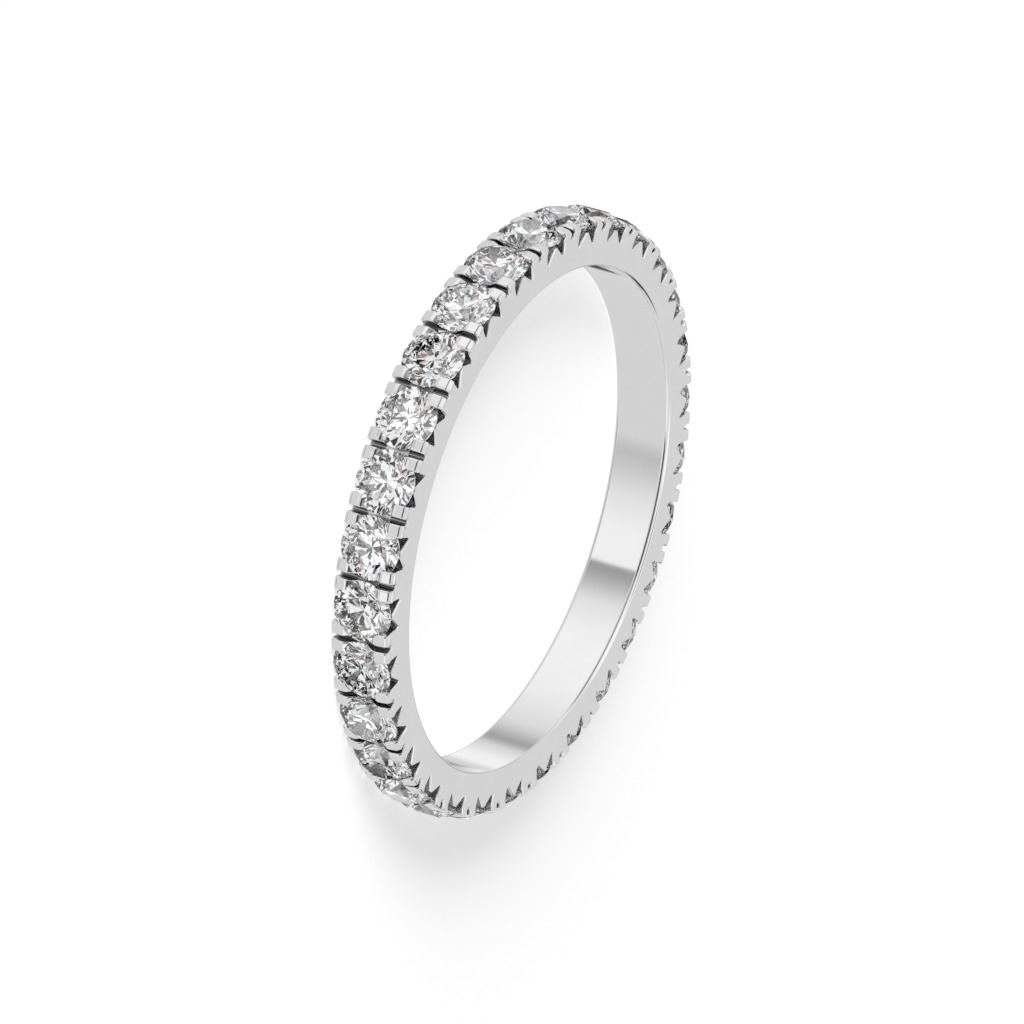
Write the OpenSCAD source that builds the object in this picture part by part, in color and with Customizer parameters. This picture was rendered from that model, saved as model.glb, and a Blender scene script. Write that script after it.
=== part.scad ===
// Full eternity ring: a cast white metal band set all round with round brilliants, in millimetres.
// The ring lies on its side: the axis of the bore is Z, and the prongs of its lower side reach z = 0.

/* [Ring] */
// Inside diameter, which is the finger size
bore_d = 16.9; // [14:0.1:22]
// Width of the band between its two flat side faces
band_w = 2.04; // [1.8:0.02:2.4]
// Metal left between the bore and the point of each stone
floor_t = 0.44; // [0.3:0.01:0.8]
// Size of the small bevel at both edges of the bore
bore_bevel = 0.04; // [0.03:0.01:0.15]

/* [Stones] */
// Diameter of each stone at its girdle
stone_d = 2.07; // [1.9:0.01:2.2]
// Least gap between the girdles of two neighbours
stone_gap = 0.03; // [0.02:0.01:0.2]
// Table across its corners, as a share of the diameter in percent
table_pct = 57; // [50:1:65]
// Height of the crown, as a share of the diameter in percent
crown_pct = 15; // [11:0.5:17]
// Depth of the pavilion, as a share of the diameter in percent
pavilion_pct = 43; // [40:0.5:45]
// Reach of the star facets from the table to the girdle, in percent
star_pct = 50; // [40:1:60]
// Reach of the lower girdle facets from the girdle to the culet, in percent
lower_pct = 77; // [65:1:85]
// Thickness of the girdle
girdle_t = 0.05; // [0.045:0.005:0.1]
// Gap between a stone and the metal of its seat
seat_gap = 0.04; // [0.02:0.01:0.06]

/* [Prongs] */
// Width of one prong along the ring
prong_w = 0.42; // [0.3:0.01:0.5]
// Height of the prong tops above the girdles
prong_h = 0.15; // [0.1:0.01:0.3]
// Distance from the girdles down to the feet of the prongs
foot_drop = 0.14; // [0.05:0.01:0.3]
// How far the prongs stand out from the side faces
side_out = 0.05; // [0.01:0.01:0.08]
// Outer bevel of a prong, measured across the band
bevel_w = 0.13; // [0.06:0.01:0.2]
// Top of a prong, measured across the band
prong_top_w = 0.24; // [0.15:0.01:0.4]
// Fall of the top from its inner to its outer edge
top_fall = 0.045; // [0.01:0.005:0.1]
// Inner bevel of a prong, which holds the stone, measured across the band
lip_w = 0.18; // [0.1:0.01:0.3]
// Drop of the inner bevel
lip_drop = 0.14; // [0.05:0.01:0.2]
// Width of the cut between two prongs
slot_w = 0.19; // [0.1:0.01:0.3]
// Depth of that cut below the girdles
slot_drop = 0.18; // [0.12:0.01:0.3]

/* [Side cuts] */
// Depth of the tips of the V cuts below the girdles
v_drop = 0.57; // [0.3:0.01:0.7]
// Width of the blunt tip of a V cut
tip_w = 0.06; // [0.02:0.01:0.12]
// Depth of the peak between the two V cuts below the girdles
peak_drop = 0.14; // [0.06:0.01:0.2]
// Width of the blunt top of that peak
peak_w = 0.05; // [0.02:0.01:0.1]
// How far each V cut reaches in from the side face
v_depth = 0.4; // [0.2:0.01:0.6]

/* [Hidden] */
bore_r = bore_d / 2;
stone_r = stone_d / 2;
// Radius of the circle on which the middles of the girdles lie: point, pavilion and half the girdle
girdle_r = bore_r + floor_t + stone_d * pavilion_pct / 100 + girdle_t / 2;
// As many stones as go round with the least gap between them
stone_n = floor(180 / asin((stone_d + stone_gap) / 2 / girdle_r));
pitch_a = 360 / stone_n;
prong_r = girdle_r + prong_h;
// Half of the angle that the window between two pairs of prongs takes up
window_a = pitch_a / 2 - asin((slot_w / 2 + prong_w) / girdle_r);
// How far each cut runs past the surface that it opens
past = 1;
// Flats round the floor of the cut between two prongs
floor_n = 8;
// Height of the middle plane over the surface that the ring lies on
mid_z = max(band_w / 2 + side_out, stone_r);
// The cut of a stone has eight mains, with four points of the girdle to each of them
mains = 8;
main_a = 360 / mains;
half_a = main_a / 2;
points_n = 4 * mains;
// Levels and radii of the cut, with heights taken from the middle of the girdle
table_r = stone_r * table_pct / 100;
crown_z = girdle_t / 2 + stone_d * crown_pct / 100;
culet_z = -girdle_t / 2 - stone_d * pavilion_pct / 100;
// The star points lie on the planes of the bezel facets
table_flat = table_r * cos(half_a);
star_r = table_flat + (stone_r - table_flat) * star_pct / 100;
star_z = crown_z - (star_r * cos(half_a) - table_r) * (crown_z - girdle_t / 2) / (stone_r - table_r);
// The tips of the lower girdle facets lie on the planes of the pavilion mains
lower_r = stone_r * (1 - lower_pct / 100);
lower_z = culet_z + lower_r * cos(half_a) * 2 * pavilion_pct / 100;

function stone_name(i) = str("stone_", i < 10 ? "0" : "", i);

$fn = 96;

// Half of the cross section of the band, as [radius, distance from its middle plane]
function half_profile() = let (
    face = band_w / 2,
    outer_edge = face + side_out - bevel_w,
    inner_edge = outer_edge - prong_top_w,
    lip_edge = inner_edge - lip_w
) [
    [bore_r + bore_bevel, face],
    [girdle_r - foot_drop, face],
    [girdle_r, face + side_out],
    [prong_r - top_fall, outer_edge],
    [prong_r, inner_edge],
    [prong_r - lip_drop, lip_edge],
    [girdle_r - slot_drop, lip_edge],
];

module section() {
    half = half_profile();
    last = len(half) - 1;
    polygon(concat(
        [[bore_r, -band_w / 2 + bore_bevel], [bore_r, band_w / 2 - bore_bevel]],
        half,
        [for (i = [last:-1:0]) [half[i][0], -half[i][1]]]
    ));
}

// Puts what it is given at the place of stone i, with Z along the stone's own axis outwards
module at_stone(i) {
    translate([0, 0, mid_z])
        rotate([0, 0, (i - 1) * pitch_a])
            rotate([0, 90, 0])
                children();
}

// The space that a stone and its seat gap take up, open outwards above the table
module seat() {
    seat_r = stone_r + seat_gap;
    rotate_extrude()
        polygon([
            [0, culet_z - seat_gap],
            [lower_r + seat_gap, lower_z],
            [seat_r, -girdle_t / 2],
            [seat_r, girdle_t / 2],
            [star_r + seat_gap, star_z],
            [table_r + seat_gap, crown_z],
            [table_r + seat_gap, crown_z + past],
            [0, crown_z + past],
        ]);
}

// Stands what is drawn as [along the ring, radius] up at a stone's place, from one side face to the other
module across(from_x, to_x) {
    translate([from_x, 0, 0])
        rotate([90, 0, 90])
            linear_extrude(to_x - from_x)
                children();
}

// A point on the side of the window under a stone, which is a plane through the bore's axis
function window_side(side, r) = [side * r * tan(window_a), r];

// The window between two pairs of prongs, down to the peaks
module window() {
    across(-band_w / 2 - past, band_w / 2 + past)
        polygon([
            window_side(-1, girdle_r - peak_drop),
            window_side(1, girdle_r - peak_drop),
            window_side(1, prong_r + past),
            window_side(-1, prong_r + past),
        ]);
}

// The two V cuts under a stone in one side face, side by side. Their inner sides would meet above
// the floor of the window, which leaves the peak between them blunt
module v_pair() {
    tip_r = girdle_r - v_drop;
    blunt = [tip_w, 0];
    across(band_w / 2 - v_depth, band_w / 2 + past)
        polygon([
            window_side(-1, tip_r + tip_w),
            window_side(-1, tip_r) + blunt,
            [0, girdle_r - peak_drop + peak_w / 2],
            window_side(1, tip_r) - blunt,
            window_side(1, tip_r + tip_w),
            window_side(1, girdle_r),
            window_side(-1, girdle_r),
        ]);
}

// The cut between two prongs, with a round floor
module slot() {
    r = slot_w / 2;
    centre = [0, girdle_r - slot_drop + r];
    top = prong_r + past;
    across(-mid_z - past, mid_z + past)
        polygon(concat(
            [[-r, top]],
            [for (k = [0:floor_n]) centre + r * [-cos(k * 180 / floor_n), -sin(k * 180 / floor_n)]],
            [[r, top]]
        ));
}

module band() {
    color("gainsboro")
        difference() {
            translate([0, 0, mid_z])
                rotate_extrude($fn = 360) section();
            for (i = [1:stone_n]) at_stone(i) window();
            for (i = [1:stone_n]) at_stone(i) v_pair();
            for (i = [1:stone_n]) at_stone(i) mirror([1, 0, 0]) v_pair();
            for (i = [1:stone_n]) at_stone(i + 0.5) slot();
            for (i = [1:stone_n]) at_stone(i) translate([0, 0, girdle_r]) seat();
        }
}

// Height at x, y of the plane through three points
function plane_z(p, q, s, x, y) = let (n = cross(q - p, s - p))
    p[2] - (n[0] * (x - p[0]) + n[1] * (y - p[1])) / n[2];

function ring_point(r, a, z) = [r * cos(a), r * sin(a), z];

// One edge of the girdle, of which every second point dips to the facet that meets it there
function girdle_edge(side, tip) = let (z = side * girdle_t / 2) [
    for (j = [0:points_n - 1]) let (
        at = ring_point(stone_r, j * 360 / points_n, z),
        corner = ring_point(stone_r, floor(j / 2) * half_a, z),
        next = ring_point(stone_r, floor(j / 2) * half_a + half_a, z),
        facet = ring_point(tip[0], floor(j / 4) * main_a + half_a, tip[1])
    ) j % 2 == 0 ? at : [at[0], at[1], plane_z(facet, corner, next, at[0], at[1])]
];

// A round brilliant on Z, with the middle of its girdle at z = 0
module brilliant() {
    points = concat(
        [for (k = [0:mains - 1]) ring_point(table_r, main_a * k, crown_z)],
        [for (k = [0:mains - 1]) ring_point(star_r, main_a * k + half_a, star_z)],
        girdle_edge(1, [star_r, star_z]),
        girdle_edge(-1, [lower_r, lower_z]),
        [for (k = [0:mains - 1]) ring_point(lower_r, main_a * k + half_a, lower_z)],
        [[0, 0, culet_z]]
    );
    // First point of each ring, from the table down to the culet
    star = mains;
    upper = star + mains;
    lower = upper + points_n;
    main = lower + points_n;
    culet = main + mains;
    last = mains - 1;
    end = points_n - 1;
    table = [for (k = [last:-1:0]) k];
    stars = [for (k = [0:last]) [k, (k + 1) % mains, star + k]];
    bezels = [for (k = [0:last]) [k, star + k, upper + 4 * k, star + (k + last) % mains]];
    upper_halves = [for (k = [0:last], h = [0, 2]) let (j = 4 * k + h)
        [star + k, upper + (j + 2) % points_n, upper + j + 1, upper + j]];
    girdle = [for (j = [0:end]) let (next = (j + 1) % points_n)
        [upper + j, upper + next, lower + next, lower + j]];
    lower_halves = [for (k = [0:last], h = [0, 2]) let (j = 4 * k + h)
        [main + k, lower + j, lower + j + 1, lower + (j + 2) % points_n]];
    pavilion = [for (k = [0:last]) [culet, main + (k + last) % mains, lower + 4 * k, main + k]];
    polyhedron(points, concat([table], stars, bezels, upper_halves, girdle, lower_halves, pavilion));
}

module stone(i) {
    color("white") at_stone(i) translate([0, 0, girdle_r]) brilliant();
}

band();
for (i = [1:stone_n])
    stone(i);
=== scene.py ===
"""Looks of a full eternity ring: a polished white metal band set all round with 29 round brilliants.

The ring lies on its side on a pale table, in metres, with the axis of its bore along Z. The sections
follow the ring as it is made: the cast band, the stones, and then the table top, the light tent and
the camera.
"""
import math

import bmesh
import bpy
import numpy as np
from mathutils import Matrix, Vector


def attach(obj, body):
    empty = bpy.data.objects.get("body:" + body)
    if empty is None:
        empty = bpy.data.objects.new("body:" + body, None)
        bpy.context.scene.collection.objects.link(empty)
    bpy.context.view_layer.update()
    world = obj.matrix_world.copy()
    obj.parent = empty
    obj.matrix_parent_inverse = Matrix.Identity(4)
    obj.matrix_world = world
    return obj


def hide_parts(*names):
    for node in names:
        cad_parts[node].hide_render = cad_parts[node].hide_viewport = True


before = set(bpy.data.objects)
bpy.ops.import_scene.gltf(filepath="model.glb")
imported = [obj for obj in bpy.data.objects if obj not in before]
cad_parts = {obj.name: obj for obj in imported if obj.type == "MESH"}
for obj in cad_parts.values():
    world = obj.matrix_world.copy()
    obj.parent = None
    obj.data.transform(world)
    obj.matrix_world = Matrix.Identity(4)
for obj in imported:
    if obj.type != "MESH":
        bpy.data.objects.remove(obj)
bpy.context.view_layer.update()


# The band
# One casting in white metal: the shank, the shared block prongs between the stones and the cuts that
# open the stones to the light. It is polished by hand, which leaves every outer edge a little round.
# Sizes are in millimetres, and the mesh is scaled to metres when it is bent round.
MM = 0.001
STONE_COUNT = sum(name.startswith("stone_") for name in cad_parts)
BORE_R = 8.45
GIRDLE_R = 9.8051
BAND_W = 2.04
BORE_EDGE_ROUND = 0.17
PRONG_SIDE_ROUND = 0.09
PRONG_TOP_ROUND = 0.14
PRONG_INNER_ROUND = 0.28
LIP_EDGE_ROUND = 0.02
ARC_STEP = math.radians(12)
CUT_EDGE_ROUND = 0.08
FINE_EDGE_ROUND = 0.03
EDGE_STEPS = 3
PRONG_W = 0.42
PRONG_H = 0.22
PRONG_SIDE_H = 0.06
PRONG_FOOT = 0.14
PRONG_SIDE_OUT = 0.05
PRONG_BEVEL_W = 0.12
PRONG_TOP_W = 0.35
PRONG_TOP_FALL = 0.055
LIP_W = 0.2
LIP_DROP = 0.12
SLOT_W = 0.19
SLOT_DROP = 0.18
SLOT_STEPS = 8
V_DROP = 0.57
V_TIP_W = 0.06
V_DEPTH = 0.4
PEAK_DROP = 0.145
PEAK_W = 0.18
CUT_PAST = 0.5
SLICES = 9
BLANK_PITCHES = 3
MID_Z = BAND_W / 2 + PRONG_SIDE_OUT
PRONG_R = GIRDLE_R + PRONG_H
PEAK_R = GIRDLE_R - PEAK_DROP
LIP_R = PRONG_R - LIP_DROP
LIP_EDGE = BAND_W / 2 + PRONG_SIDE_OUT - PRONG_BEVEL_W - PRONG_TOP_W - LIP_W
PITCH_ANGLE = 2 * math.pi / STONE_COUNT
PITCH = PITCH_ANGLE * GIRDLE_R
WINDOW_ANGLE = PITCH_ANGLE / 2 - math.asin((SLOT_W / 2 + PRONG_W) / GIRDLE_R)

# The seat of a stone follows the cut of the stone at a small distance
STONE_R = 1.035
STONE_D = 2 * STONE_R
GIRDLE_T = 0.05
SEAT_GAP = 0.04
CROWN_GAP = 0.015
SEAT_SIDES = 64
HALF_MAIN = math.pi / 8
CROWN_H = STONE_D * 0.15
PAVILION_H = STONE_D * 0.43
TABLE_R = STONE_R * 0.57
CROWN_Z = GIRDLE_T / 2 + CROWN_H
CULET_Z = -GIRDLE_T / 2 - PAVILION_H
STAR_R = (TABLE_R * math.cos(HALF_MAIN) + STONE_R) / 2
STAR_Z = CROWN_Z - (STAR_R * math.cos(HALF_MAIN) - TABLE_R) * CROWN_H / (STONE_R - TABLE_R)
LOWER_R = STONE_R * 0.23
LOWER_Z = CULET_Z + LOWER_R * math.cos(HALF_MAIN) * PAVILION_H / STONE_R

# Finishes of the faces while the mesh is made, which pick their materials. A rounded edge ends up polished.
# The V cut and slot faces get darker metal, painted shade in these recesses.
FINISHES = ("polished", "v_cut", "slot", "seat", "rounded")
POLISHED, V_CUT, SLOT, SEAT, ROUNDED = range(len(FINISHES))
finish_marks = [bpy.data.materials.new(mark) for mark in FINISHES]


def band_section():
    """The corners of the cross-section: distance across, radius, rounding, finish up to the corner."""
    face = BAND_W / 2
    outer_edge = face + PRONG_SIDE_OUT - PRONG_BEVEL_W
    half = [
        (face, BORE_R, BORE_EDGE_ROUND, POLISHED),
        (face, GIRDLE_R - PRONG_FOOT, 0, POLISHED),
        (face + PRONG_SIDE_OUT, GIRDLE_R + PRONG_SIDE_H, PRONG_SIDE_ROUND, ROUNDED),
        (outer_edge, PRONG_R - PRONG_TOP_FALL, PRONG_TOP_ROUND, POLISHED),
        (outer_edge - PRONG_TOP_W, PRONG_R, PRONG_INNER_ROUND, POLISHED),
        (LIP_EDGE, LIP_R, LIP_EDGE_ROUND, POLISHED),
        (LIP_EDGE, GIRDLE_R - SLOT_DROP, 0, SEAT),
    ]
    finishes = [corner[3] for corner in half[1:]] + [SEAT]
    other = [(-across, radius, size, finish) for (across, radius, size, _), finish in zip(half, finishes)]
    return half + other[::-1]


def eased(corners):
    """An outline with arcs at its corners, and the finish of the stretch that ends at each point."""
    points, finishes = [], []
    places = [Vector(corner[:2]) for corner in corners]
    for k, (across, radius, size, finish) in enumerate(corners):
        back = (places[k - 1] - places[k]).normalized()
        onward = (places[(k + 1) % len(places)] - places[k]).normalized()
        half_angle = back.angle(onward) / 2
        centre = places[k] + (back + onward).normalized() * size / math.sin(half_angle)
        start = places[k] + back * size / math.tan(half_angle) - centre
        end = places[k] + onward * size / math.tan(half_angle) - centre
        steps = math.ceil((math.pi - 2 * half_angle) / ARC_STEP) if size else 0
        points.append(centre + start)
        finishes.append(finish)
        for step in range(1, steps + 1):
            points.append(centre + size * start.slerp(end, step / steps))
            finishes.append(ROUNDED)
    return points, finishes


def laid_flat(along, radius):
    """A point at a stone's place, with the ring cut open and laid flat along its girdle line."""
    return math.atan2(along, radius) * GIRDLE_R, math.hypot(along, radius)


def add_prism(mesh, near, far, finishes):
    """A closed prism between two outlines of as many corners, with a finish for each of its sides."""
    near = [mesh.verts.new(corner) for corner in near]
    far = [mesh.verts.new(corner) for corner in far]
    for end in (near, far):
        mesh.faces.new(end).material_index = finishes[0]
    for i in range(len(near)):
        mesh.faces.new((near[i - 1], near[i], far[i], far[i - 1])).material_index = finishes[i]


def add_cut(mesh, outline, middle, from_x, to_x, finish):
    """A cutter across the band, drawn as [along, radius] at a place, between two distances across."""
    corners = [laid_flat(*point) for point in outline]
    ends = [[(x, along + middle, radius) for along, radius in corners] for x in (from_x, to_x)]
    add_prism(mesh, ends[0], ends[1], [finish] * len(corners))


def add_seat(mesh, middle):
    """The cutter of a stone's seat: its profile turned about the stone's axis."""
    profile = [
        (LOWER_R + SEAT_GAP, LOWER_Z),
        (STONE_R + CROWN_GAP, -GIRDLE_T / 2),
        (STONE_R + CROWN_GAP, GIRDLE_T / 2),
        (STAR_R + CROWN_GAP, STAR_Z),
        (TABLE_R + CROWN_GAP, CROWN_Z),
        (TABLE_R + CROWN_GAP, CROWN_Z + CUT_PAST),
    ]
    rings = []
    for r, height in profile:
        ring = []
        for k in range(SEAT_SIDES):
            turn = 2 * math.pi * k / SEAT_SIDES
            along, radius = laid_flat(r * math.sin(turn), GIRDLE_R + height)
            ring.append(mesh.verts.new((r * math.cos(turn), along + middle, radius)))
        rings.append(ring)
    point = mesh.verts.new((0, middle, GIRDLE_R + CULET_Z - SEAT_GAP))
    faces = [mesh.faces.new(rings[-1])]
    for k in range(SEAT_SIDES):
        faces.append(mesh.faces.new((point, rings[0][k - 1], rings[0][k])))
        for below, above in zip(rings, rings[1:]):
            faces.append(mesh.faces.new((below[k - 1], below[k], above[k], above[k - 1])))
    for face in faces:
        face.material_index = SEAT


def as_object(mesh, name):
    bmesh.ops.recalc_face_normals(mesh, faces=mesh.faces)
    data = bpy.data.meshes.new(name)
    mesh.to_mesh(data)
    mesh.free()
    for mark in finish_marks:
        data.materials.append(mark)
    made = bpy.data.objects.new(name, data)
    bpy.context.scene.collection.objects.link(made)
    return made


def apply_modifiers(thing):
    shown = thing.evaluated_get(bpy.context.evaluated_depsgraph_get())
    data = bpy.data.meshes.new_from_object(shown)
    thing.modifiers.clear()
    thing.data = data


def carve(blank, cutter_mesh):
    cutter = as_object(cutter_mesh, "cutter")
    cut = blank.modifiers.new("cut", "BOOLEAN")
    cut.solver = "MANIFOLD"
    cut.object = cutter
    cut.material_mode = "TRANSFER"
    apply_modifiers(blank)
    bpy.data.objects.remove(cutter)


SAME_PLACE = 1e-5
SAME_PLANE = math.radians(0.3)


def merge_flat_faces(blank):
    mesh = bmesh.new()
    mesh.from_mesh(blank.data)
    bmesh.ops.remove_doubles(mesh, verts=mesh.verts, dist=SAME_PLACE)
    bmesh.ops.dissolve_limit(
        mesh, angle_limit=SAME_PLANE, verts=mesh.verts, edges=mesh.edges, delimit={"MATERIAL"}
    )
    mesh.normal_update()
    return mesh


# The blank's own ends, and the least angle of an edge that isn't a step of an arc
BLANK_END = (BLANK_PITCHES / 2 - 0.01) * PITCH
LEAST_EDGE = 1.2 * ARC_STEP
NEAR_PEAK = 0.01
NEAR_LIP = 0.03


def rounding_of(edge):
    """How far the polish takes an edge back, or 0 for one that stays as it is cut."""
    ends = [corner.co for corner in edge.verts]
    if all(abs(co.y) > BLANK_END for co in ends):
        return 0
    if not edge.is_convex or edge.calc_face_angle(0) < LEAST_EDGE:
        return 0
    on_peak = all(abs(co.z - PEAK_R) < NEAR_PEAK for co in ends)
    if on_peak or all(abs(co.x) < LIP_EDGE + NEAR_LIP for co in ends):
        return FINE_EDGE_ROUND
    return CUT_EDGE_ROUND


def round_edges(blank):
    """Rounds the outer edges of the carved blank."""
    mesh = merge_flat_faces(blank)
    weight = mesh.edges.layers.float.new("bevel_weight_edge")
    for edge in mesh.edges:
        edge[weight] = rounding_of(edge) / CUT_EDGE_ROUND
    mesh.to_mesh(blank.data)
    mesh.free()
    rounding = blank.modifiers.new("rounding", "BEVEL")
    rounding.limit_method = "WEIGHT"
    rounding.width = CUT_EDGE_ROUND
    rounding.segments = EDGE_STEPS
    rounding.use_clamp_overlap = False
    rounding.material = ROUNDED
    apply_modifiers(blank)


def three_pitches():
    """Three pitches of the band laid flat: the prongs, the windows, the V cuts and the slots."""
    mesh = bmesh.new()
    section, finishes = eased(band_section())
    reach = BLANK_PITCHES / 2 * PITCH
    near, far = [[(across, along, radius) for across, radius in section] for along in (-reach, reach)]
    add_prism(mesh, near, far, finishes)
    blank = as_object(mesh, "blank")

    def side(sign, radius):
        return sign * radius * math.tan(WINDOW_ANGLE), radius

    windows = bmesh.new()
    floor, top = PEAK_R * math.cos(WINDOW_ANGLE), PRONG_R + CUT_PAST
    window = [side(-1, floor), side(1, floor), side(1, top), side(-1, top)]
    for k in (-1, 0, 1):
        add_cut(windows, window, k * PITCH, -BAND_W, BAND_W, POLISHED)
    carve(blank, windows)

    v_cuts = bmesh.new()
    tip_r = GIRDLE_R - V_DROP
    left, right = side(-1, tip_r), side(1, tip_r)
    v_pair = [
        side(-1, tip_r + V_TIP_W),
        (left[0] + V_TIP_W, tip_r),
        (0, PEAK_R + PEAK_W / 2),
        (right[0] - V_TIP_W, tip_r),
        side(1, tip_r + V_TIP_W),
        side(1, GIRDLE_R),
        side(-1, GIRDLE_R),
    ]
    for k in (-1, 0, 1):
        for sign in (-1, 1):
            ends = sign * (BAND_W / 2 - V_DEPTH), sign * (BAND_W / 2 + CUT_PAST)
            add_cut(v_cuts, v_pair, k * PITCH, ends[0], ends[1], V_CUT)
    carve(blank, v_cuts)

    slots = bmesh.new()
    r = SLOT_W / 2
    centre = GIRDLE_R - SLOT_DROP + r
    turns = [k * math.pi / SLOT_STEPS for k in range(SLOT_STEPS + 1)]
    round_floor = [(-r * math.cos(a), centre - r * math.sin(a)) for a in turns]
    slot = [(-r, top)] + round_floor + [(r, top)]
    for k in (-1.5, -0.5, 0.5, 1.5):
        add_cut(slots, slot, k * PITCH, -BAND_W, BAND_W, SLOT)
    carve(blank, slots)

    round_edges(blank)
    for k in (-1, 0, 1):
        seat = bmesh.new()
        add_seat(seat, k * PITCH)
        carve(blank, seat)
    return blank


# The most that two faces may turn from each other and still look like one smooth face
ROUNDED_TURN = math.radians(50)
CUT_TURN = math.radians(30)
FLAT_TURN = math.radians(2)
# What the area of a rounded edge counts for where it meets a flat face, which stays flat to its rim
ROUNDED_PULL = 0.001


def runs_on(face, other):
    """Whether the polish runs on smoothly from one face to another that it meets."""
    turn = face.normal.angle(other.normal, 0)
    finishes = face.material_index, other.material_index
    if ROUNDED in finishes:
        return turn < ROUNDED_TURN
    if finishes[0] == finishes[1] != POLISHED:
        return turn < CUT_TURN
    return turn < FLAT_TURN


def lay_normals(mesh):
    """Keeps flat faces flat and lets the rounded edges turn from one to the next."""
    layer = mesh.loops.layers.float_vector.new("polish_normal")
    for face in mesh.faces:
        for loop in face.loops:
            total = Vector()
            for other in loop.vert.link_faces:
                if runs_on(face, other):
                    pull = ROUNDED_PULL if other.material_index == ROUNDED else 1
                    total += other.normal * other.calc_area() * pull
            loop[layer] = total.normalized() if total.length > 0 else face.normal


SLICE_TOLERANCE = 1e-6


def one_pitch(blank):
    """The middle pitch as arrays, in slices fine enough to bend."""
    mesh = merge_flat_faces(blank)
    lay_normals(mesh)
    for k in range(SLICES + 1):
        bmesh.ops.bisect_plane(
            mesh,
            geom=mesh.verts[:] + mesh.edges[:] + mesh.faces[:],
            dist=SLICE_TOLERANCE,
            plane_co=(0, (k / SLICES - 0.5) * PITCH, 0),
            plane_no=(0, 1, 0),
            clear_inner=k == 0,
            clear_outer=k == SLICES,
        )
    layer = mesh.loops.layers.float_vector["polish_normal"]
    mesh.verts.index_update()
    corners = np.array([corner.co for corner in mesh.verts])
    faces = [[corner.index for corner in face.verts] for face in mesh.faces]
    finishes = [POLISHED if face.material_index == ROUNDED else face.material_index for face in mesh.faces]
    normals = np.array([loop[layer] for face in mesh.faces for loop in face.loops])
    mesh.free()
    return corners, faces, finishes, normals


def bent(across, along, out, turn):
    """Turns lengths across, along and out from the ring at an angle into X, Y and Z."""
    x = out * np.cos(turn) - along * np.sin(turn)
    y = out * np.sin(turn) + along * np.cos(turn)
    return np.stack([x, y, -across], 1)


# Corners that agree to this many decimals of a millimetre are one, where two pitches meet
SHARED_DECIMALS = 4


def band_mesh():
    """Bends one pitch round the axis and repeats it for every stone."""
    blank = three_pitches()
    corners, faces, finishes, normals = one_pitch(blank)
    bpy.data.objects.remove(blank)
    turns = corners[:, 1] / GIRDLE_R
    loop_corners = [i for face in faces for i in face]
    loop_radius = corners[loop_corners, 2]
    places, known, all_faces, all_finishes, all_normals = [], {}, [], [], []
    for i in range(STONE_COUNT):
        turn = turns + i * PITCH_ANGLE
        spots = bent(corners[:, 0], 0, corners[:, 2], turn)
        spots[:, 2] += MID_Z
        numbers = []
        for spot in spots:
            key = tuple(np.round(spot, SHARED_DECIMALS))
            if key not in known:
                known[key] = len(places)
                places.append(tuple(spot * MM))
            numbers.append(known[key])
        along = normals[:, 1] * GIRDLE_R / loop_radius
        lay = bent(normals[:, 0], along, normals[:, 2], turn[loop_corners])
        lay /= np.linalg.norm(lay, axis=1)[:, None]
        start = 0
        for face, finish in zip(faces, finishes):
            own = [numbers[k] for k in face]
            keep = [k for k in range(len(own)) if own[k] != own[k - 1]]
            if len(keep) > 2:
                all_faces.append([own[k] for k in keep])
                all_finishes.append(finish)
                all_normals.extend(tuple(lay[start + k]) for k in keep)
            start += len(face)
    data = bpy.data.meshes.new("polished_band")
    data.from_pydata(places, [], all_faces)
    data.polygons.foreach_set("material_index", all_finishes)
    data.polygons.foreach_set("use_smooth", [True] * len(all_faces))
    data.normals_split_custom_set(all_normals)
    return data


CLOUD_SIZE = 1.5 * MM
FINE_SWIRL = 0.1 * MM
COARSE_SWIRL = 0.05 * MM


def white_metal(name, grey, roughness, swirl, depth):
    """White metal of a given grey, rhodium-bright near 0.9 and darker as painted shade below that, with the
    clouds and fine swirls that the polishing leaves in it.
    """
    made = bpy.data.materials.new(name)
    made.use_nodes = True
    nodes, links = made.node_tree.nodes, made.node_tree.links
    metal = nodes["Principled BSDF"]
    metal.inputs["Metallic"].default_value = 1
    place = nodes.new("ShaderNodeTexCoord").outputs["Object"]

    def noise(size, detail, stretch):
        grain = nodes.new("ShaderNodeTexNoise")
        grain.inputs["Scale"].default_value = 1 / size
        grain.inputs["Detail"].default_value = detail
        grain.inputs["Distortion"].default_value = stretch
        links.new(place, grain.inputs["Vector"])
        return grain.outputs["Fac"]

    def spread(value, low, high):
        ranged = nodes.new("ShaderNodeMapRange")
        ranged.inputs["From Min"].default_value = 0.3
        ranged.inputs["From Max"].default_value = 0.7
        ranged.inputs["To Min"].default_value = low
        ranged.inputs["To Max"].default_value = high
        links.new(value, ranged.inputs["Value"])
        return ranged.outputs["Result"]

    clouds = noise(CLOUD_SIZE, 3, 0.5)
    shade = nodes.new("ShaderNodeCombineColor")
    for channel, tint in zip(("Red", "Green", "Blue"), (1, 1, 1.006)):
        links.new(spread(clouds, 0.985 * grey * tint, 1.015 * grey * tint), shade.inputs[channel])
    links.new(shade.outputs["Color"], metal.inputs["Base Color"])
    links.new(spread(noise(swirl, 4, 2), 0.7 * roughness, 1.3 * roughness), metal.inputs["Roughness"])
    bump = nodes.new("ShaderNodeBump")
    bump.inputs["Strength"].default_value = 1
    bump.inputs["Distance"].default_value = depth
    links.new(noise(swirl, 3, 2), bump.inputs["Height"])
    links.new(bump.outputs["Normal"], metal.inputs["Normal"])
    return made


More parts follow.
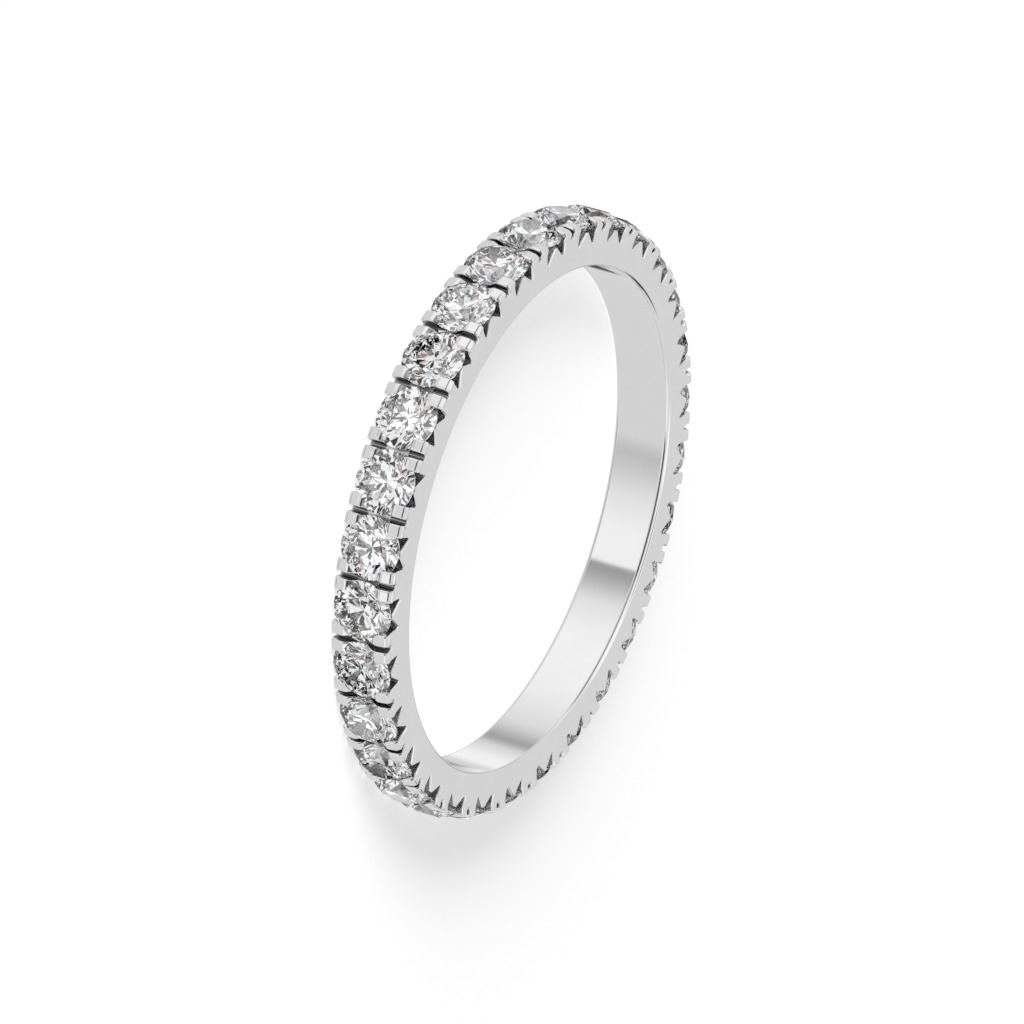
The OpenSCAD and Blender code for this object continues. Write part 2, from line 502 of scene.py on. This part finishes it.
band = bpy.data.objects.new("polished_band", band_mesh())
bpy.context.scene.collection.objects.link(band)
band.data.materials.append(white_metal("mirror_polish", 0.9, 0.07, FINE_SWIRL, 0.0004 * MM))
# The sides of the V cuts get a darker grey: painted shade in these recesses.
band.data.materials.append(white_metal("v_cut_painted_shade", 0.5, 0.3, COARSE_SWIRL, 0.0003 * MM))
# The slots get a darker grey still: painted shade in these narrow recesses.
band.data.materials.append(white_metal("slot_painted_shade", 0.34, 0.12, COARSE_SWIRL, 0.0003 * MM))
band.data.materials.append(white_metal("drilled_seat", 0.85, 0.3, COARSE_SWIRL, 0.001 * MM))
for mark in finish_marks:
    bpy.data.materials.remove(mark)
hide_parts("band")
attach(band, "root")


# The stones
# Round brilliants of one size, each with a table, star, bezel and girdle facets above and below.
# They sit in the seats of the band, held at four points by the prong tips.
GROWTH_CLOUD = 0.5 * MM


def clouded(nodes, links, size, low, high):
    """A colour that drifts between two shades, in clouds of one size."""
    clouds = nodes.new("ShaderNodeTexNoise")
    clouds.inputs["Scale"].default_value = 1 / size
    clouds.inputs["Detail"].default_value = 3
    links.new(nodes.new("ShaderNodeTexCoord").outputs["Object"], clouds.inputs["Vector"])
    drift = nodes.new("ShaderNodeMix")
    drift.data_type = "RGBA"
    drift.inputs["A"].default_value = low
    drift.inputs["B"].default_value = high
    links.new(clouds.outputs["Fac"], drift.inputs["Factor"])
    return drift.outputs["Result"]


def cut_stone():
    """Colourless to the eye, with the faint clouds that the stone grew with, and flat polished facets."""
    made = bpy.data.materials.new("clear_cut_stone")
    made.use_nodes = True
    nodes, links = made.node_tree.nodes, made.node_tree.links
    stone = nodes["Principled BSDF"]
    tint = clouded(nodes, links, GROWTH_CLOUD, (0.95, 0.96, 0.975, 1), (1, 1, 1, 1))
    links.new(tint, stone.inputs["Base Color"])
    stone.inputs["Roughness"].default_value = 0
    stone.inputs["IOR"].default_value = 2.417
    stone.inputs["Transmission Weight"].default_value = 1
    return made


clear = cut_stone()
for i in range(STONE_COUNT):
    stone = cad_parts["stone_%02d" % (i + 1)]
    stone.data.materials.clear()
    stone.data.materials.append(clear)


# The table top
# A sheet of matt white acrylic, lit from below, so that only faint shadows lie on it. Metal and stones
# mirror the light tent instead of it, and stay as bright below as above.
ACRYLIC_GRAIN = 0.3 * MM


def lit_acrylic():
    made = bpy.data.materials.new("lit_acrylic_table")
    made.use_nodes = True
    nodes, links = made.node_tree.nodes, made.node_tree.links
    sheet = nodes["Principled BSDF"]
    grain = clouded(nodes, links, ACRYLIC_GRAIN, (0.78, 0.78, 0.78, 1), (0.82, 0.82, 0.82, 1))
    links.new(grain, sheet.inputs["Base Color"])
    sheet.inputs["Roughness"].default_value = 1
    sheet.inputs["Specular IOR Level"].default_value = 0
    sheet.inputs["Emission Color"].default_value = (1, 1, 1, 1)
    sheet.inputs["Emission Strength"].default_value = 0.68
    return made


bpy.ops.mesh.primitive_plane_add(size=2)
table_top = bpy.context.object
table_top.name = "table_top"
table_top.data.materials.append(lit_acrylic())
table_top.visible_glossy = False
table_top.visible_transmission = False


# The light tent
# White cloth all round the ring. Lamps stand behind some of its panels, it is grey at its seams, and
# it is open in a few places, such as at the lens. The polished metal mirrors it as soft bands.
# Brightness is the grey of 0 to 255 that the cloth shows as in the metal.
CEILING = 250
LIT_CLOTH = 240
CLOTH = 210
FOLD = 180
SEAM = 150
GAP = 70
METAL_SHARE = 0.9
PANEL_EDGE = 4

# Each panel as its azimuths from and to, how softly it starts and ends there, its elevations from and
# to, all in degrees, and its brightness. A later panel hangs before an earlier one
TENT_PANELS = {
    "main lamp": (70, 130, 25, 20, -30, 60, LIT_CLOTH),
    "low lamp": (10, 30, 5, 10, -30, -20, LIT_CLOTH),
    "low seam": (40, 50, 5, 10, -30, -20, SEAM),
    "seam before the front lamp": (140, 150, 10, 1, -30, -20, SEAM),
    "front lamp": (150, 180, 1, 20, -30, -20, LIT_CLOTH),
    "fold after the front lamp": (195, 205, 15, 5, -30, -20, FOLD),
    "way in, low part": (320, 355, 2, 10, -30, -20, GAP),
    "way in": (340, 365, 20, 15, -20, 5, GAP),
    "side lamp": (190, 210, 10, 10, -20, 5, LIT_CLOTH),
    "dim cloth beside the lens": (80, 145, 8, 5, 5, 35, SEAM),
    "opening for the lens": (145, 210, 5, 5, 5, 35, GAP),
    "lamp beside the lens": (215, 240, 5, 15, 5, 35, LIT_CLOTH),
    "gap between two panels": (295, 310, 2, 2, 5, 35, GAP),
    "gap at the hem": (135, 235, 10, 10, -60, -50, GAP),
}
CEILING_FROM = 60
CROWN_FROM = 77
TABLE_LIGHT = 0.05

# Through the stones the tent shows more contrast: bright cloth, and dark gaps between the panels.
# Each belt of it is given by its stops, from 0 to 360 along one fold of the cloth or round the ring
STONE_LIGHT = 1.3
STONE_EDGE = 2
SIDES_FROM = -30
TOP_FROM = 38
SIDE_FOLDS = 4, 1
TOP_FOLDS = 3, -1
STONE_FLOOR = [
    (0, 190), (40, 110), (80, 215), (130, (138, 130, 124)), (170, 220), (210, (96, 90, 94)), (260, 200),
    (310, 120),
]
STONE_SIDES = [
    (0, 235), (40, 255), (46, 30), (80, 45), (86, 245), (128, 230), (134, 90), (150, 50), (156, 245),
    (196, 245), (198, (206, 172, 150)), (204, (136, 102, 86)), (209, 225), (250, 240), (256, 15), (306, 25),
    (312, 220), (330, 150), (336, 235),
]
STONE_TOP = [
    (0, 240), (50, 255), (74, 215), (80, 25), (104, 40), (110, 235), (160, 250), (166, 90), (180, 40),
    (186, 240), (222, 240), (226, (160, 182, 222)), (232, 240), (262, 235), (268, 20), (290, 35), (296, 240),
]


def linear(grey):
    """Light that shows as a grey of 0 to 255."""
    share = grey / 255
    return ((share + 0.055) / 1.055) ** 2.4


def light_tent():
    tent = bpy.data.worlds.new("light_tent")
    tent.use_nodes = True
    nodes, links = tent.node_tree.nodes, tent.node_tree.links

    def math_node(operation, first, second=None):
        node = nodes.new("ShaderNodeMath")
        node.operation = operation
        links.new(first, node.inputs[0])
        if isinstance(second, bpy.types.NodeSocket):
            links.new(second, node.inputs[1])
        elif second is not None:
            node.inputs[1].default_value = second
        return node.outputs[0]

    direction = nodes.new("ShaderNodeSeparateXYZ")
    links.new(nodes.new("ShaderNodeTexCoord").outputs["Generated"], direction.inputs[0])
    turn = nodes.new("ShaderNodeMath")
    turn.operation = "ARCTAN2"
    links.new(direction.outputs["Y"], turn.inputs[0])
    links.new(direction.outputs["X"], turn.inputs[1])
    azimuth = math_node("FRACT", math_node("DIVIDE", turn.outputs[0], 2 * math.pi))
    height = math_node("ARCSINE", direction.outputs["Z"])

    def plain(grey):
        colour = nodes.new("ShaderNodeRGB").outputs["Color"]
        colour.default_value = (*[linear(grey) / METAL_SHARE] * 3, 1)
        return colour

    def mixed(share, first, second):
        mix = nodes.new("ShaderNodeMix")
        mix.data_type = "RGBA"
        links.new(share, mix.inputs["Factor"])
        links.new(first, mix.inputs["A"])
        links.new(second, mix.inputs["B"])
        return mix.outputs["Result"]

    def past(angle, degrees, soft):
        """0 before an angle and 1 past it, with a soft rise from one to the other."""
        edge = nodes.new("ShaderNodeMapRange")
        edge.interpolation_type = "SMOOTHSTEP"
        links.new(angle, edge.inputs["Value"])
        edge.inputs["From Min"].default_value = math.radians(degrees - soft)
        edge.inputs["From Max"].default_value = math.radians(degrees + soft)
        return edge.outputs["Result"]

    def panel(behind, from_azimuth, to_azimuth, start_soft, end_soft, from_height, to_height, grey):
        """Hangs a panel before what is there. Azimuths are counted from the side opposite its middle."""
        opposite = (from_azimuth + to_azimuth) / 2 - 180
        counted = math_node("FRACT", math_node("SUBTRACT", azimuth, opposite / 360))
        counted = math_node("MULTIPLY", counted, 2 * math.pi)
        started = past(counted, from_azimuth - opposite, start_soft)
        ended = past(counted, to_azimuth - opposite, end_soft)
        round_tent = math_node("SUBTRACT", started, ended)
        lower, upper = past(height, from_height, PANEL_EDGE), past(height, to_height, PANEL_EDGE)
        up_tent = math_node("SUBTRACT", lower, upper)
        return mixed(math_node("MULTIPLY", round_tent, up_tent), behind, plain(grey))

    def folds(count, slant):
        """How far along one of the slanting folds of the cloth a direction is, from 0 to 1."""
        leaning = math_node("MULTIPLY", height, slant)
        return math_node("FRACT", math_node("ADD", math_node("MULTIPLY", azimuth, count), leaning))

    def belt(stops, strength, along):
        ramp = nodes.new("ShaderNodeValToRGB")
        colours = ramp.color_ramp.elements
        while len(colours) > 1:
            colours.remove(colours[-1])
        ordered = sorted(stops)
        first, last = ordered[0], ordered[-1]
        share = (360 - last[0]) / (360 - last[0] + first[0])
        seam = last[1] + (first[1] - last[1]) * share
        ordered = [(0, seam)] + [stop for stop in ordered if stop[0] > 0] + [(360, seam)]
        for number, (degrees, shade) in enumerate(ordered):
            stop = colours[0] if number == 0 else colours.new(degrees / 360)
            stop.position = degrees / 360
            tint = shade if isinstance(shade, tuple) else (shade, shade, shade)
            stop.color = (*[linear(grey) * strength for grey in tint], 1)
        links.new(along, ramp.inputs["Fac"])
        return ramp.outputs["Color"]

    in_metal = plain(CLOTH)
    for place in TENT_PANELS.values():
        in_metal = panel(in_metal, *place)
    in_metal = mixed(past(height, CEILING_FROM, PANEL_EDGE), in_metal, plain(CEILING))
    in_metal = mixed(past(height, CROWN_FROM, PANEL_EDGE), in_metal, plain(SEAM))

    stone_sides = belt(STONE_SIDES, STONE_LIGHT, folds(*SIDE_FOLDS))
    stone_top = belt(STONE_TOP, STONE_LIGHT, folds(*TOP_FOLDS))
    in_stones = mixed(past(height, SIDES_FROM, STONE_EDGE), belt(STONE_FLOOR, 1, azimuth), stone_sides)
    in_stones = mixed(past(height, TOP_FROM, STONE_EDGE), in_stones, stone_top)

    # The table is lit from below and by the low lamp, and gets little light from the tent
    rays = nodes.new("ShaderNodeLightPath")
    shown = mixed(rays.outputs["Is Singular Ray"], in_metal, in_stones)
    on_table = nodes.new("ShaderNodeRGB")
    on_table.outputs[0].default_value = (TABLE_LIGHT, TABLE_LIGHT, TABLE_LIGHT, 1)
    shown = mixed(rays.outputs["Is Diffuse Ray"], shown, on_table.outputs[0])
    links.new(shown, nodes["Background"].inputs["Color"])
    return tent


bpy.context.scene.world = light_tent()

# A lamp low behind the ring, which lays a faint soft shadow on the table towards the lens
LAMP_AZIMUTH = math.radians(126)
LAMP_ELEVATION = math.radians(19)
LAMP_WIDTH = math.radians(28)
LAMP_STRENGTH = 3.4
lamp = bpy.data.lights.new("low_lamp", "SUN")
lamp.energy = LAMP_STRENGTH
lamp.angle = LAMP_WIDTH
low_lamp = bpy.data.objects.new("low_lamp", lamp)
bpy.context.scene.collection.objects.link(low_lamp)
low_lamp.rotation_euler = (math.pi / 2 - LAMP_ELEVATION, 0, LAMP_AZIMUTH + math.pi / 2)
low_lamp.visible_glossy = False
low_lamp.visible_transmission = False


# The camera
# A long lens at the photograph's angle, rolled so that the ring stands in the picture as it does there.
CAMERA_AZIMUTH = math.radians(160.065)
CAMERA_ELEVATION = math.radians(25.278)
CAMERA_ROLL = math.radians(106.23)
CAMERA_DISTANCE = 0.27232
CAMERA_AIM = Vector((-0.0000533, 0.0000047, 0.0009606))
CAMERA_LENS = 296.16
lens = bpy.data.cameras.new("camera")
lens.lens = CAMERA_LENS
lens.sensor_width = 36
lens.clip_start = 0.01
camera = bpy.data.objects.new("camera", lens)
bpy.context.scene.collection.objects.link(camera)
towards = Vector((
    math.cos(CAMERA_AZIMUTH) * math.cos(CAMERA_ELEVATION),
    math.sin(CAMERA_AZIMUTH) * math.cos(CAMERA_ELEVATION),
    math.sin(CAMERA_ELEVATION),
))
level = (-towards).to_track_quat("-Z", "Y").to_matrix().to_4x4()
camera.matrix_world = (
    Matrix.Translation(CAMERA_AIM + towards * CAMERA_DISTANCE)
    @ level
    @ Matrix.Rotation(CAMERA_ROLL, 4, "Z")
)
bpy.context.scene.camera = camera
bpy.context.scene.view_settings.view_transform = "Standard"
# Light is thrown to and fro many times inside a cut stone before it comes out again
bpy.context.scene.cycles.glossy_bounces = 12
